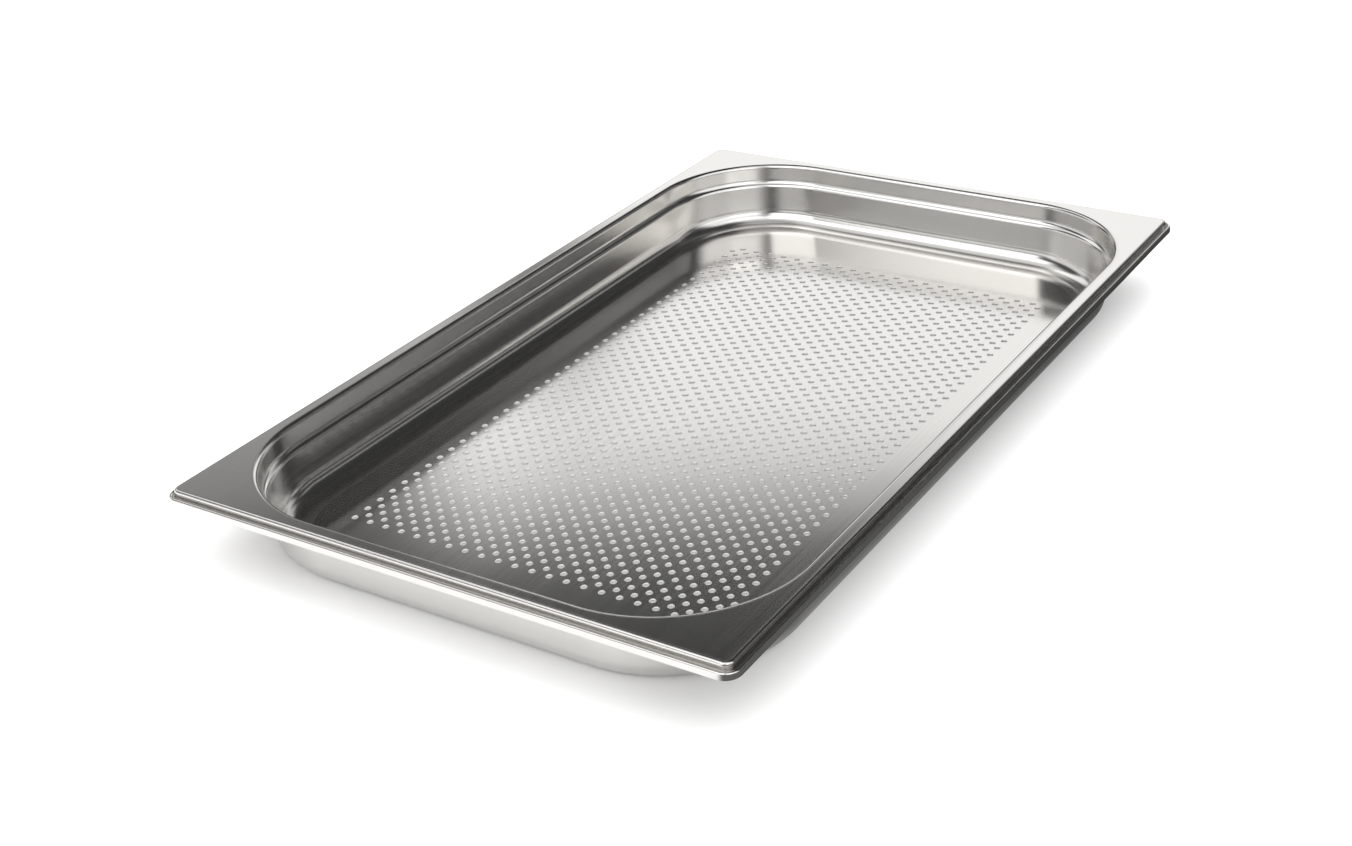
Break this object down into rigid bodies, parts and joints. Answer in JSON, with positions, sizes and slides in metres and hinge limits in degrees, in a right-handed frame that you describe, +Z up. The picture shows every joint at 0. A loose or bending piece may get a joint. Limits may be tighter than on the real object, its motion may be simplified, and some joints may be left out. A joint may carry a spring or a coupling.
{
  "type": "perforated tray",
  "caption": "Full-size shallow stainless gastronorm tray with a perforated flat base, rounded basin corners, a stacking shoulder and a turned-down rim.",
  "frame": {"origin": "centre of the base's underside, on the surface that the tray stands on", "axes": "+X along the long side, +Y along the short side, +Z up through the opening"},
  "size_m": [0.53, 0.325, 0.04],
  "materials": {
    "stainless_sheet": "satin, bright-drawn 18/10 stainless sheet with a fine lengthwise grain"
  },
  "bodies": {
    "root": {"perforated_base": "stainless_sheet", "bottom_radius": "stainless_sheet", "stacking_shoulder": "stainless_sheet", "opening_bend": "stainless_sheet", "rim_flange": "stainless_sheet", "turned_down_edge": "stainless_sheet"}
  },
  "joints": []
}
